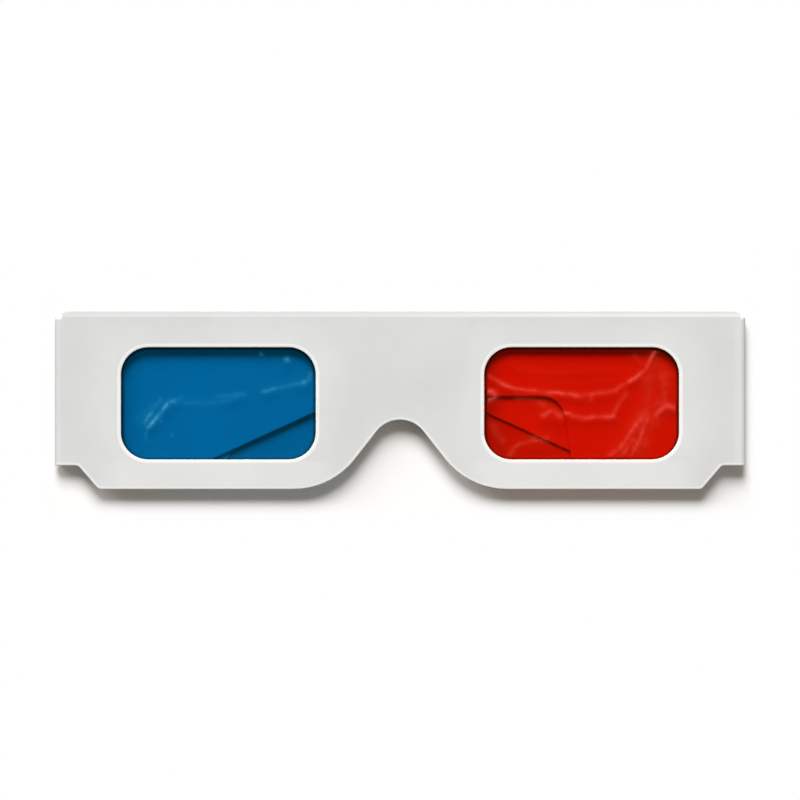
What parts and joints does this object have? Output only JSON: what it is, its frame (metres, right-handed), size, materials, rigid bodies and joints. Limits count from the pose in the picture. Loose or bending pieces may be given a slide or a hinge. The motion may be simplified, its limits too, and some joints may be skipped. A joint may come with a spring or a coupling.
{
  "type": "3d glasses",
  "caption": "Folding paper anaglyph glasses: white card front with a blue and a red film window, a nose notch and card temples that fold flat behind it on creases.",
  "frame": {"origin": "on the surface that the folded glasses lie on, under the middle of the front", "axes": "+X along the front, towards the red window; +Y up the front, away from the nose notch; +Z out of the front's face. Left and right are as seen by someone looking at the face."},
  "size_m": [0.1514, 0.039, 0.0033],
  "materials": {
    "card": "matte white, uncoated",
    "blue_film": "glossy clear blue film",
    "red_film": "glossy clear red film",
    "glue": "dried glue film"
  },
  "bodies": {
    "front": {"front_panel": "card", "back_panel": "card", "top_fold": "card", "blue_film": "blue_film", "red_film": "red_film", "left_end_glue": "glue", "bridge_glue": "glue", "right_end_glue": "glue", "upper_glue": "glue", "lower_left_glue": "glue", "lower_right_glue": "glue", "left_crease": "card", "right_crease": "card"},
    "left_temple": {"left_temple": "card"},
    "right_temple": {"right_temple": "card"}
  },
  "joints": [
    {"name": "left_temple_fold", "type": "hinge", "parent": "front", "child": "left_temple", "pos_m": [-0.07409, 0, 0.00166], "axis": [0, 1, 0], "range_deg": [0, 100], "deforming": ["left_crease"]},
    {"name": "right_temple_fold", "type": "hinge", "parent": "front", "child": "right_temple", "pos_m": [0.07462, 0, 0.00218], "axis": [0, -1, 0], "range_deg": [0, 100], "deforming": ["right_crease"]}
  ]
}
